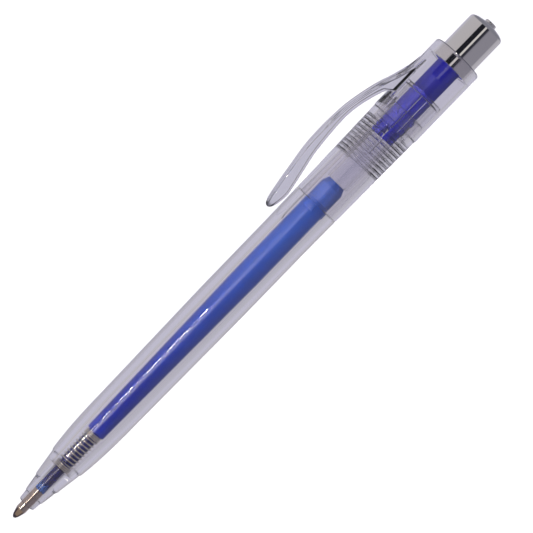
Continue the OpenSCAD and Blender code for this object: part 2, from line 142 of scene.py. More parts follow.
def arc(centre: Point, radius: float, start: float, end: float, steps: int = 6) -> list[Point]:
    """Points on an arc of an outline.

    Args:
        centre: Place along the pen and distance from its axis.
        radius: Radius of the arc.
        start: Angle of the first point.
        end: Angle of the last point.
        steps: Number of steps between them.

    Returns:
        The points, first and last included.
    """
    angles = [math.radians(start + (end - start) * i / steps) for i in range(steps + 1)]
    return [(centre[0] + radius * math.cos(a), centre[1] + radius * math.sin(a)) for a in angles]


def smooth_line(points: Sequence[Point], steps: int) -> list[Point]:
    """A smooth curve through a list of points.

    Args:
        points: The points to pass through.
        steps: Number of steps between each two of them.

    Returns:
        The points of the curve.
    """
    last = len(points) - 1
    out: list[Point] = []
    for i in range(last):
        a, b, c, d = (points[max(0, min(last, i + k))] for k in (-1, 0, 1, 2))
        for k in range(steps):
            t = k / steps
            out.append(tuple(
                0.5 * (2 * b[n] + (c[n] - a[n]) * t + (2 * a[n] - 5 * b[n] + 4 * c[n] - d[n]) * t ** 2
                       + (3 * b[n] - a[n] - 3 * c[n] + d[n]) * t ** 3)
                for n in (0, 1)))
    return out + [points[last]]


def draw_path(name: str, places: Sequence[Vector]) -> Piece:
    """Draws a line from place to place, by extruding one point.

    Args:
        name: Name of the new piece.
        places: The places in metres.

    Returns:
        The piece, in edit mode, with its last point selected.
    """
    clear_bench()
    bpy.ops.mesh.primitive_plane_add(size=0.1 * MM, location=places[0])
    piece = bpy.context.active_object
    piece.name = name
    bpy.ops.object.transform_apply(location=True, rotation=False, scale=False)
    bpy.ops.object.mode_set(mode="EDIT")
    bpy.ops.mesh.select_mode(type="VERT")
    bpy.ops.mesh.merge(type="CENTER")
    for a, b in zip(places, places[1:]):
        bpy.ops.mesh.extrude_region_move(TRANSFORM_OT_translate={"value": b - a})
    return piece


def draw_outline(name: str, points: Sequence[Point], closed: bool) -> Piece:
    """Draws an outline beside the pen's axis, one extruded point after another.

    Args:
        name: Name of the new piece.
        points: Places along the pen and radii.
        closed: True if the last point joins the first.

    Returns:
        The piece, in edit mode, with all of it selected.
    """
    piece = draw_path(name, [Vector((x, r, 0)) * MM for x, r in points])
    if closed:
        bpy.ops.object.mode_set(mode="OBJECT")
        piece.data.vertices[0].select = True
        bpy.ops.object.mode_set(mode="EDIT")
        bpy.ops.mesh.edge_face_add()
    bpy.ops.mesh.select_all(action="SELECT")
    return piece


def close_skin(piece: Piece) -> None:
    """Merges the seam and the poles of a piece in edit mode, and turns its faces outwards.

    Args:
        piece: The piece, in edit mode. It is left in object mode.
    """
    bpy.ops.mesh.select_all(action="SELECT")
    bpy.ops.mesh.remove_doubles(threshold=0.001 * MM)
    bpy.ops.mesh.normals_make_consistent(inside=False)
    bpy.ops.object.mode_set(mode="OBJECT")


def turn_piece(name: str, points: Sequence[Point], closed: bool = True, steps: int = 128) -> Piece:
    """Turns an outline about the pen's axis, as on a lathe.

    Args:
        name: Name of the new piece.
        points: Places along the pen and radii.
        closed: True for a tube's wall, False for an outline that starts and ends on the axis.
        steps: Number of steps round the axis.

    Returns:
        The piece, in object mode.
    """
    piece = draw_outline(name, points, closed)
    bpy.ops.mesh.spin(steps=steps, angle=math.tau, center=CENTRE, axis=AXIS)
    close_skin(piece)
    return piece


def select_faces(piece: Piece, test: Callable[[Vector], bool]) -> int:
    """Selects the faces of a piece by the place of their centres, and opens edit mode.

    Args:
        piece: The piece to look at.
        test: Says of a face's centre, whether it is wanted.

    Returns:
        The number of faces selected.
    """
    take(piece)
    bpy.ops.object.mode_set(mode="EDIT")
    bpy.ops.mesh.select_mode(type="FACE")
    bpy.ops.mesh.select_all(action="DESELECT")
    bpy.ops.object.mode_set(mode="OBJECT")
    found = 0
    for face in piece.data.polygons:
        face.select = test(face.center / MM)
        found += face.select
    bpy.ops.object.mode_set(mode="EDIT")
    return found


def radius_of(place: Vector) -> float:
    """Distance of a place from the pen's axis."""
    return math.hypot(place.y, place.z)


def in_sectors(place: Vector, middles: Iterable[float], wide: float) -> bool:
    """Whether a place lies in one of several sectors round the pen's axis.

    Args:
        place: The place.
        middles: Middle of each sector, from +Y towards +Z.
        wide: Angle of a sector.

    Returns:
        True if it does.
    """
    turn = math.degrees(math.atan2(place.z, place.y))
    return any(abs((turn - at + 180) % 360 - 180) < wide / 2 for at in middles)


def spaced(count: int, lead: float = 0.0) -> list[float]:
    """Angles that divide the circle evenly.

    Args:
        count: Number of angles.
        lead: Where the first one lies, as a share of the step.

    Returns:
        The angles.
    """
    return [360 * (i + lead) / count for i in range(count)]


def raise_faces(piece: Piece, test: Callable[[Vector], bool], ratio: float) -> None:
    """Extrudes chosen faces away from the axis or towards it, as a rib or a groove.

    Args:
        piece: The piece to shape.
        test: Says of a face's centre, whether it is raised.
        ratio: New radius divided by the old one.
    """
    if select_faces(piece, test):
        bpy.ops.mesh.extrude_region_move(TRANSFORM_OT_translate={"value": CENTRE})
        bpy.ops.transform.resize(value=(1, ratio, ratio), center_override=CENTRE)
    bpy.ops.object.mode_set(mode="OBJECT")


def apply_modifier(piece: Piece, kind: str, **settings: object) -> None:
    """Adds a modifier to a piece and applies it.

    Args:
        piece: The piece.
        kind: Type of the modifier.
        settings: Its settings by name.
    """
    take(piece)
    modifier = piece.modifiers.new(kind.title(), kind)
    for key, value in settings.items():
        setattr(modifier, key, value)
    bpy.ops.object.modifier_apply(modifier=modifier.name)


def break_edges(piece: Piece, width: float, angle: float = 50) -> None:
    """Rounds the sharp edges of a piece, as a mould or a tumbler leaves them.

    Args:
        piece: The piece.
        width: Width of the rounding.
        angle: Smallest angle between two faces,, whose edge is rounded.
    """
    apply_modifier(piece, "BEVEL", width=width * MM, segments=2, limit_method="ANGLE",
                   angle_limit=math.radians(angle), use_clamp_overlap=True)


def smooth_faces(piece: Piece, angle: float = 50) -> None:
    """Shades a piece smooth, apart from its sharp edges, and keeps its large faces flat.

    Args:
        piece: The piece.
        angle: Angle from which an edge is sharp.
    """
    take(piece)
    bpy.ops.object.shade_smooth_by_angle(angle=math.radians(angle))
    apply_modifier(piece, "WEIGHTED_NORMAL", keep_sharp=True, weight=90)


def trim(piece: Piece, width: float, edge: float = 50, smooth: float = 50) -> None:
    """Rounds the edges of a piece and shades it smooth.

    Args:
        piece: The piece.
        width: Width of the rounding.
        edge: Smallest angle between two faces whose edge is rounded.
        smooth: Angle from which an edge stays sharp.
    """
    break_edges(piece, width, edge)
    smooth_faces(piece, smooth)


def rows(start: float, end: float, radius: float, step: float) -> list[Point]:
    """Even rows of points along a cylinder.

    Args:
        start: Place of the first row.
        end: Place of the last row.
        radius: Radius of the cylinder.
        step: Largest distance between two rows.

    Returns:
        The points, first and last included.
    """
    count = math.ceil(abs(end - start) / step)
    return [(start + (end - start) * i / count, radius) for i in range(count + 1)]


def fit_piece(piece: Piece, slot: Slot, nodes: Iterable[str], material: Material,
              body: Body | None = None) -> None:
    """Dresses a finished piece, says which CAD nodes it stands for and puts it on its body.

    Args:
        piece: The piece.
        slot: The record's material slot.
        nodes: Names of the CAD nodes that it replaces.
        material: Its material.
        body: The body that it rides on, or None to put it on no body.
    """
    piece.data.materials.clear()
    piece.data.materials.append(material)
    piece.visible_shadow = slot not in (Slot.CLEAR, Slot.CLEAR_INNER)
    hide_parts(*nodes)
    if body is not None:
        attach(piece, body.value)
    LOG.info("%s: %d faces, for %s", piece.name, len(piece.data.polygons), ", ".join(nodes))


def low(node: str) -> Vector:
    """Lowest corner of a CAD node."""
    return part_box(node)[0] / MM


def high(node: str) -> Vector:
    """Highest corner of a CAD node."""
    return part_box(node)[1] / MM


# ---- Finishes ----


def linear(colour: str) -> Colour:
    """Turns an sRGB hex colour into linear red, green, blue and alpha.

    Args:
        colour: Six hex digits.

    Returns:
        The four numbers.
    """
    parts = [int(colour[i:i + 2], 16) / 255 for i in (0, 2, 4)]
    red, green, blue = (c / 12.92 if c <= 0.04045 else ((c + 0.055) / 1.055) ** 2.4 for c in parts)
    return red, green, blue, 1.0


def add_node(tree: Tree, kind: str, settings: dict[str, object] | None = None,
             values: dict[str | int, object] | None = None,
             links: dict[str | int, Socket] | None = None) -> Node:
    """Adds a node with its settings, socket values and links.

    Args:
        tree: The node tree.
        kind: Type of the node, without its prefix.
        settings: Properties of the node by name.
        values: Values of its input sockets by name or number.
        links: Output sockets that feed its input sockets, by name or number.

    Returns:
        The node.
    """
    node = tree.nodes.new(f"ShaderNode{kind}")
    for key, value in (settings or {}).items():
        setattr(node, key, value)
    for key, value in (values or {}).items():
        node.inputs[key].default_value = value
    for key, socket in (links or {}).items():
        tree.links.new(socket, node.inputs[key])
    return node


def set_ramp(node: Node, stops: Sequence[tuple[float, Colour]]) -> None:
    """Sets the stops of a colour ramp.

    Args:
        node: The ramp.
        stops: Position and linear colour of each stop, in order.
    """
    elements = node.color_ramp.elements
    while len(elements) < len(stops):
        elements.new(1.0)
    for element, (position, colour) in zip(elements, stops):
        element.position = position
        element.color = colour


def new_material(name: str, values: dict[str | int, object]
                 ) -> tuple[Material, Tree, Node]:
    """Makes a material with one Principled shader.

    Args:
        name: Name of the material.
        values: Values of the shader's sockets.

    Returns:
        The material, its node tree and the shader.
    """
    material = bpy.data.materials.new(name)
    material.use_nodes = True
    tree = material.node_tree
    tree.nodes.clear()
    shader = add_node(tree, "BsdfPrincipled", values=values)
    add_node(tree, "OutputMaterial", links={"Surface": shader.outputs[0]})
    return material, tree, shader


def object_place(tree: Tree) -> Socket:
    """Gives the place on the object, in metres."""
    return add_node(tree, "TexCoord").outputs["Object"]


def spread(tree: Tree, value: Socket, start: float, end: float
           ) -> Socket:
    """Spreads a value from 0 to 1 between two others.

    Args:
        tree: The node tree.
        value: The value.
        start: What 0 becomes.
        end: What 1 becomes.

    Returns:
        The new value.
    """
    return add_node(tree, "MapRange", values={"To Min": start, "To Max": end},
                    links={"Value": value}).outputs[0]


def add_bump(tree: Tree, shader: Node, height: Socket,
             strength: float, depth: float, invert: bool = False) -> None:
    """Bends a shader's normals by a height.

    Args:
        tree: The node tree.
        shader: The shader.
        height: The height, from 0 to 1.
        strength: Strength of the effect.
        depth: Depth of the relief.
        invert: True if 1 is the lowest place.
    """
    bump = add_node(tree, "Bump", settings={"invert": invert},
                    values={"Strength": strength, "Distance": depth * MM}, links={"Height": height})
    tree.links.new(bump.outputs[0], shader.inputs["Normal"])


def stretched_noise(tree: Tree, along: float, across: float, detail: float
                    ) -> Socket:
    """Noise drawn out along the pen.

    Args:
        tree: The node tree.
        along: Size of its patches along the pen.
        across: Size of its patches across the pen.
        detail: Detail of the noise.

    Returns:
        The noise, from 0 to 1.
    """
    mapping = add_node(tree, "Mapping",
                       values={"Scale": (1 / (along * MM), 1 / (across * MM), 1 / (across * MM))},
                       links={"Vector": object_place(tree)})
    return add_node(tree, "TexNoise", values={"Scale": 1.0, "Detail": detail},
                    links={"Vector": mapping.outputs[0]}).outputs[0]


@dataclass(frozen=True)
class ClearStyrene:
    """Clear styrene, injection moulded in a polished tool: bright, faintly rippled along the flow."""

    name: str
    tint: str
    roughness: float
    ripple: float
    ior: float = 1.57
    along: float = 14.0
    across: float = 0.9
    relief: float = 0.02

    def material(self) -> Material:
        """Makes the material."""
        made, tree, shader = new_material(self.name, {
            "Base Color": linear(self.tint), "Roughness": self.roughness, "IOR": self.ior,
            "Transmission Weight": 1.0})
        noise = stretched_noise(tree, self.along, self.across, 2.0)
        add_bump(tree, shader, noise, self.ripple, self.relief)
        return made


@dataclass(frozen=True)
class BrightPlate:
    """Bright chrome plate on a moulded cap: mirror-like, a little soft, with a few tiny pits."""

    name: str = "bright_chrome_plate"
    colour: str = "EDEBE8"
    roughness: float = 0.05
    pit_size: float = 0.35
    pit_depth: float = 0.03
    rare: Point = (0.7, 0.78)

    def material(self) -> Material:
        """Makes the material."""
        made, tree, shader = new_material(self.name, {
            "Base Color": linear(self.colour), "Metallic": 1.0})
        noise = stretched_noise(tree, 6.0, 0.5, 3.0)
        tree.links.new(spread(tree, noise, 0.6 * self.roughness, 1.4 * self.roughness),
                       shader.inputs["Roughness"])
        pits = add_node(tree, "TexNoise",
                        values={"Scale": 1 / (self.pit_size * MM), "Detail": 2.0},
                        links={"Vector": object_place(tree)})
        rare = add_node(tree, "MapRange",
                        values={"From Min": self.rare[0], "From Max": self.rare[1]},
                        links={"Value": pits.outputs[0]})
        add_bump(tree, shader, rare.outputs[0], 0.25, self.pit_depth, invert=True)
        return made


@dataclass(frozen=True)
class ShadedPlastic:
    """Moulded or drawn coloured plastic whose shade changes along the pen, with faint flow streaks."""

    name: str
    front_colour: str
    rear_colour: str
    start: float
    end: float
    roughness: float
    coat: float = 0.0
    streaks: float = 0.12
    relief: float = 0.02

    def material(self) -> Material:
        """Makes the material."""
        made, tree, shader = new_material(self.name, {
            "IOR": 1.5, "Coat Weight": self.coat, "Coat Roughness": 0.04})
        parts = add_node(tree, "SeparateXYZ", links={0: object_place(tree)})
        share = add_node(tree, "MapRange",
                         values={"From Min": self.start * MM, "From Max": self.end * MM},
                         links={"Value": parts.outputs[0]})
        noise = stretched_noise(tree, 9.0, 0.35, 4.0)
        mixed = add_node(tree, "Math", settings={"operation": "ADD", "use_clamp": True},
                         links={0: share.outputs[0], 1: spread(tree, noise, -self.streaks, self.streaks)})
        ramp = add_node(tree, "ValToRGB", links={0: mixed.outputs[0]})
        set_ramp(ramp, [(0.0, linear(self.front_colour)), (1.0, linear(self.rear_colour))])
        tree.links.new(ramp.outputs[0], shader.inputs["Base Color"])
        tree.links.new(spread(tree, noise, 0.8 * self.roughness, 1.25 * self.roughness),
                       shader.inputs["Roughness"])
        add_bump(tree, shader, noise, 0.04, self.relief)
        return made


@dataclass(frozen=True)
class TurnedMetal:
    """Metal off a lathe: fine tool rings round the pen break up its highlights."""

    name: str
    colour: str
    roughness: float
    ring_pitch: float
    ring_depth: float

    def material(self) -> Material:
        """Makes the material."""
        made, tree, shader = new_material(self.name, {"Base Color": linear(self.colour), "Metallic": 1.0})
        rings = add_node(tree, "TexWave",
                         settings={"wave_type": "BANDS", "bands_direction": "X"},
                         values={"Scale": WAVE_PER_TURN / (self.ring_pitch * MM), "Distortion": 0.4,
                                 "Detail": 1.0},
                         links={"Vector": object_place(tree)}).outputs[1]
        tree.links.new(spread(tree, rings, 0.7 * self.roughness, 1.3 * self.roughness),
                       shader.inputs["Roughness"])
        add_bump(tree, shader, rings, 0.2, self.ring_depth)
        return made


# Barrel, cap and clip: clear as glass, with a faint lavender cast where walls lie one behind another.
CLEAR_SHELL = ClearStyrene("clear_styrene_shell", "FBFAFC", 0.01, 0.03)
# Sleeve and rotor: as clear, but a little hazier and more rippled, so that they read as inner pieces.
CLEAR_INNER = ClearStyrene("clear_styrene_works", "F8F8FB", 0.02, 0.06, along=5.0, across=0.5)
# Grease: milky and soft, a plain gap above the ink.
CLEAR_GREASE = ClearStyrene("clear_follower_grease", "D9DDEA", 0.25, 0.2, ior=1.46)
# Button: a mirror that draws the studio's bands out along it, not quite perfect.
CHROME = BrightPlate()
# Ink tube: deep blue in front, where ink stands behind its wall, and lighter towards its empty rear.
INK_TUBE = ShadedPlastic("blue_ink_tube", "1632C6", "4274F2", 34.0, 80.0, 0.3, streaks=0.08)
# End plug: matt periwinkle, the lightest blue of the refill.
END_PLUG = ShadedPlastic("periwinkle_end_plug", "406EE4", "4472EC", 88.0, 96.0, 0.45)
# Point holder: light where it is solid, dark and glossy where ink fills its bore.
HOLDER = ShadedPlastic("blue_point_holder", "3A62B4", "1E2470", 9.4, 10.4, 0.25, coat=0.4, streaks=0.05)
# Plunger: even, half-matt navy that leans to violet.
PLUNGER = ShadedPlastic("navy_plunger", "1818CC", "1A1AD0", 109.0, 131.0, 0.55, streaks=0.3)
# Ink: nearly black blue, wet.
INK = ShadedPlastic("blue_gel_ink", "10165A", "1A2472", 30.0, 80.0, 0.15)
# Point: warm grey metal with a cream highlight, broken by its tool rings.
POINT_METAL = TurnedMetal("turned_nickel_silver", "C8BAAE", 0.14, 0.12, 0.002)
# Ball: a darker, smoother grey than the metal that holds it.
BALL_METAL = TurnedMetal("ground_carbide", "8C8886", 0.12, 0.05, 0.002)
# Spring wire: bright and smooth, a white line on each coil.
SPRING_WIRE = TurnedMetal("drawn_spring_wire", "F6F3EC", 0.12, 0.3, 0.0005)


# ---- Barrel ----


@dataclass
class Thread:
    """The screw joint between the two barrel parts, shared by both."""

    pitch: float = 1.03
    depth: float = 0.22
    inner_depth: float = 0.18
    play: float = 0.04
    front: float = 101.0
    crest: float = 1.2
    steepness: float = 2.2
    run_in: float = 0.5
    run_out: float = 0.8
    tolerance: float = 0.02

    def wind(self, piece: Piece, end: float, radius: float, inner: bool) -> None:
        """Winds the thread into the fine rows of a turned piece, by moving them towards the axis.

        Args:
            piece: The turned piece.
            end: Rear end of the thread.
            radius: Radius of the surface that is threaded.
            inner: True for the thread inside the upper barrel, which is shallower and set back by its play.
        """
        depth, back = (self.inner_depth, self.play) if inner else (self.depth, 0.0)
        for vertex in piece.data.vertices:
            place = vertex.co / MM
            distance = radius_of(place)
            if not self.front < place.x < end or abs(distance - radius) >= self.tolerance:
                continue
            turn = math.atan2(place.z, place.y) / math.tau
            phase = math.tau * ((place.x - self.front - back) / self.pitch - turn)
            wave = min(1.0, self.crest + self.steepness * math.cos(phase))
            fade = min(1.0, (place.x - self.front) / (self.run_in * self.pitch),
                       (end - place.x) / (self.run_out * self.pitch))
            ratio = 1 - depth * fade * (0.5 - 0.5 * wave) / distance
            vertex.co = Vector((place.x, place.y * ratio, place.z * ratio)) * MM

    def fine_rows(self, end: float, radius: float) -> list[Point]:
        """Rows fine enough to carry the thread, from the front end to the given rear end."""
        return rows(self.front, end, radius, self.pitch / 10)

    def turn_shell(self, name: str, points: Sequence[Point], radius: float, inner: bool) -> Piece:
        """Turns a barrel part and winds the thread into it.

        Args:
            name: Name of the new piece.
            points: Its outline.
            radius: Radius of the surface that is threaded.
            inner: True for the thread inside the upper barrel.

        Returns:
            The piece.
        """
        piece = turn_piece(name, points, steps=144)
        break_edges(piece, 0.05)
        self.wind(piece, high("lower_barrel").x, radius, inner)
        smooth_faces(piece)
        return piece


@dataclass
class LowerBarrel:
    """Clear lower barrel: stepped nose, swelling, grip cylinder and threaded spigot."""

    thread: Thread
    nose_round: float = 0.3
    nose_r: float = 1.92
    steps: tuple[Point, ...] = ((6.0, 2.1), (9.75, 2.83), (15.8, 3.9))
    step_rise: float = 0.2
    step_len: float = 0.2
    belly_x: float = 31.5
    belly_r: float = 4.89
    land: Point = (62.0, 5.24)
    land_len: float = 18.0
    spigot_r: float = 4.12
    bore_front_r: float = 2.85
    bore_rear_r: float = 3.18
    seat_x: float = 14.2
    seat_r: float = 2.2
    seat_len: float = 3.4
    nose_bore_r: float = 1.23
    seam_groove: float = 0.12
    seam_gap: float = 0.03
    neck_bore: Point = (6.45, 1.28)

    def step(self, place: Point) -> list[Point]:
        """Outline of one moulded ring step, softly rounded at its top and foot.

        Args:
            place: Place and radius in front of the step.

        Returns:
            The points of the step.
        """
        x, r = place
        rounds = ((0.0, 0.0), (0.12, 0.05), (0.5, 0.85), (1.0, 1.0))
        return [(x + a * self.step_len, r + b * self.step_rise) for a, b in rounds]

    def belly(self) -> list[Point]:
        """Outline of the swelling behind the last step."""
        x0, r0 = self.steps[-1][0] + self.step_len, self.steps[-1][1] + self.step_rise
        return [(x0 + (self.belly_x - x0) * t, self.belly_r - (self.belly_r - r0) * (1 - t) ** 2.5)
                for t in (i / 20 for i in range(1, 21))]

    def outline(self) -> list[Point]:
        """The barrel's outline: outside from nose to spigot, then back along the bore."""
        front = low("lower_barrel").x
        rear = high("lower_barrel").x
        seam = low("upper_barrel").x - self.seam_gap
        seam_r = high("lower_barrel").z
        land_x, land_r = self.land
        nose = arc((front + self.nose_round, self.nose_r - self.nose_round), self.nose_round, 180, 90)
        outside = [(front, self.nose_bore_r)] + nose
        for place in self.steps:
            outside += self.step(place)
        outside += self.belly()
        outside += [(land_x, land_r), (land_x + self.land_len, land_r), (seam - self.seam_groove, seam_r),
                    (seam, seam_r - self.seam_groove), (seam, self.spigot_r)]
        outside += self.thread.fine_rows(rear, self.spigot_r)
        inside = [(rear, self.bore_rear_r), (self.belly_x, self.bore_front_r),
                  (self.seat_x + self.seat_len, self.seat_r), (self.seat_x, self.seat_r),
                  (self.seat_x, self.neck_bore[1]), self.neck_bore,
                  (self.neck_bore[0] - 0.2, self.nose_bore_r)]
        return outside + inside

    def build(self) -> None:
        """Turns the barrel, winds its thread and dresses it."""
        piece = self.thread.turn_shell("clear_lower_barrel", self.outline(), self.spigot_r, False)
        fit_piece(piece, Slot.CLEAR, ["lower_barrel"], CLEAR_SHELL.material(), Body.FRONT)


@dataclass
class UpperBarrel:
    """Clear upper barrel: threaded bore in front, and a spigot that the cap is pressed on."""

    thread: Thread
    bore_r: float = 4.18
    joint_r: float = 4.9

    def build(self) -> None:
        """Turns the barrel, winds its inner thread and dresses it."""
        front, cap_x, rear = low("upper_barrel").x, low("clip_cap").x - PRESS_GAP, high("upper_barrel").x
        bore = self.thread.fine_rows(high("lower_barrel").x, self.bore_r)[::-1]
        groove, seam_r = LowerBarrel.seam_groove, high("lower_barrel").z
        points = [(front, self.bore_r), (front, seam_r - groove), (front + groove, seam_r),
                  (cap_x, high("upper_barrel").z), (cap_x, self.joint_r), (rear, self.joint_r),
                  (rear, self.bore_r)] + bore
        piece = self.thread.turn_shell("clear_upper_barrel", points, self.bore_r, True)
        fit_piece(piece, Slot.CLEAR, ["upper_barrel"], CLEAR_SHELL.material(), Body.CASING)


# ---- Cap and clip ----


@dataclass
class CapAndClip:
    """Clear cap with its clip in one moulding."""

    bore_r: float = 4.93
    lip_r: float = 4.33
    lip_len: float = 3.0
    cap_round: float = 0.6
    root_w: float = 5.4
    end_w: float = 3.4
    root_t: float = 1.1
    end_t: float = 2.3
    end_gap: float = 0.9
    root_drop: float = 2.0
    blend: float = 10.5
    corner: Point = (0.13, 0.06)
    flutes: tuple[Point, ...] = (
        (0.5, 0.36), (0.4, 0.34), (0.4, 0.2), (0.46, 0.18), (0.46, 0.07), (0.4, 0.05))

    def cap(self) -> Piece:
        """Turns the cap: skirt over the barrel's spigot and guide lip for the button."""
        front, rear, radius = low("clip_cap").x, high("clip_cap").x, high("clip_cap").z
        lip = rear - self.lip_len
        points = [(front, self.bore_r), (front, radius)]
        points += arc((rear - self.cap_round, radius - self.cap_round), self.cap_round, 90, 0)
        points += [(rear, self.lip_r), (lip, self.lip_r), (lip, self.bore_r)]
        return turn_piece("clear_cap_and_clip", points, steps=144)

    def outer_line(self) -> list[Point]:
        """Side view of the clip's outer face, from the cap towards its free end."""
        pivot, end, top = high("clip_arm").x, low("clip_arm").x, high("clip_arm").y
        cap_r, length = high("clip_cap").z, high("clip_arm").x - low("clip_arm").x
        end_r = LowerBarrel.land[1] + self.end_gap + 0.5 * self.end_t
        shares = ((0.19, 0.55), (0.37, 0.03), (0.55, 0.1), (0.74, 0.95), (0.92, 1.9))
        return smooth_line(
            [(pivot + self.blend, cap_r - 0.35), (pivot + 0.72 * self.blend, cap_r + 0.1),
             (pivot + 0.36 * self.blend, top - self.root_drop - 1.3), (pivot, top - self.root_drop)]
            + [(pivot - a * length, top - b) for a, b in shares]
            + [(end + 0.4, end_r + 0.45), (end, end_r)], 6)

    def inner_line(self) -> list[Point]:
        """Side view of the clip's underside, from the cap towards its free end."""
        pivot, end, top = high("clip_arm").x, low("clip_arm").x, high("clip_arm").y
        length, wall = pivot - end, self.bore_r + 0.06
        floor = LowerBarrel.land[1] + self.end_gap
        shares = ((0.84, self.root_t + 0.75), (0.69, self.root_t + 0.3), (0.46, 2.0),
                  (0.32, self.end_t + 0.6))
        return smooth_line(
            [(pivot + self.blend, wall), (pivot + 2.2, wall), (pivot + 1.1, wall + 0.2),
             (pivot + 0.4, top - self.root_t - self.root_drop - 0.5)]
            + [(end + a * length, top - b) for a, b in shares]
            + [(end + 0.2 * length, floor + 0.36), (end + 0.135 * length, floor),
               (end + 0.07 * length, floor + 0.16), (end + 0.5, floor + 0.5 * self.end_t - 0.5),
               (end, floor + 0.5 * self.end_t - 0.02)], 6)

    def width(self, x: float) -> float:
        """Width of the clip at a place along the pen."""
        pivot, end = high("clip_arm").x, low("clip_arm").x
        share = max(0.0, min(1.0, (x - end) / (pivot - end)))
        nose = min(1.0, math.sqrt(max(0.0, 1 - (1 - min(1.0, share / 0.1)) ** 2)) + 0.18)
        return (self.end_w + (self.root_w - self.end_w) * share) * nose

    def section(self) -> list[Point]:
        """Section of the clip, one high and one wide, with round corners and a fluted outer face."""
        high_by, wide_by = self.corner
        round_off = [(0.5 - high_by * (1 - math.cos(a)), 0.5 - wide_by * (1 - math.sin(a)))
                     for a in (math.radians(15 * i) for i in range(7))]
        half = list(self.flutes[::-1]) + round_off + [(-y, z) for y, z in round_off[::-1]]
        return half + [(y, -z) for y, z in half[::-1]]

    def clip(self) -> Piece:
        """Extrudes the clip's fluted section station by station."""
        outer, inner = self.outer_line(), self.inner_line()

        def height(line: list[Point], x: float) -> float:
            for (x0, y0), (x1, y1) in zip(line, line[1:]):
                if x1 <= x <= x0:
                    return y0 + (y1 - y0) * (x0 - x) / max(1e-6, x0 - x1)
            return line[-1][1]

        start, end = outer[0][0] - 0.01, low("clip_arm").x + 0.02
        shares = [i / 46 for i in range(47)]
        stations = [start + (end - start) * (1 - (1 - s) ** 1.35) for s in shares]
        piece = draw_path("clip_blank", [Vector((0, y, z)) * MM for y, z in self.section()])
        bpy.ops.mesh.select_all(action="SELECT")
        bpy.ops.mesh.edge_face_add()
        centre, size = Vector(CENTRE), Vector((1.0, 1.0, 1.0))
        for number, x in enumerate(stations):
            top, foot = height(outer, x), height(inner, x)
            goal = Vector((x, (top + foot) / 2, 0)) * MM
            goal_size = Vector((1.0, max(0.12, top - foot), self.width(x)))
            if number:
                bpy.ops.mesh.extrude_region_move(TRANSFORM_OT_translate={"value": goal - centre})
            else:
                bpy.ops.transform.translate(value=goal - centre)
            bpy.ops.transform.resize(value=(1, goal_size.y / size.y, goal_size.z / size.z),
                                     center_override=goal)
            centre, size = goal, goal_size
        close_skin(piece)
        smooth_faces(piece, 40)
        return piece

    def build(self) -> None:
        """Makes cap and clip one moulding."""
        piece, clip = self.cap(), self.clip()
        break_edges(piece, 0.05)
        apply_modifier(piece, "BOOLEAN", operation="UNION", object=clip, solver="EXACT")
        bpy.data.objects.remove(clip)
        smooth_faces(piece, 34)
        fit_piece(piece, Slot.CLEAR, ["clip_cap", "clip_arm"], CLEAR_SHELL.material())
        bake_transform(piece)


# ---- Click works ----


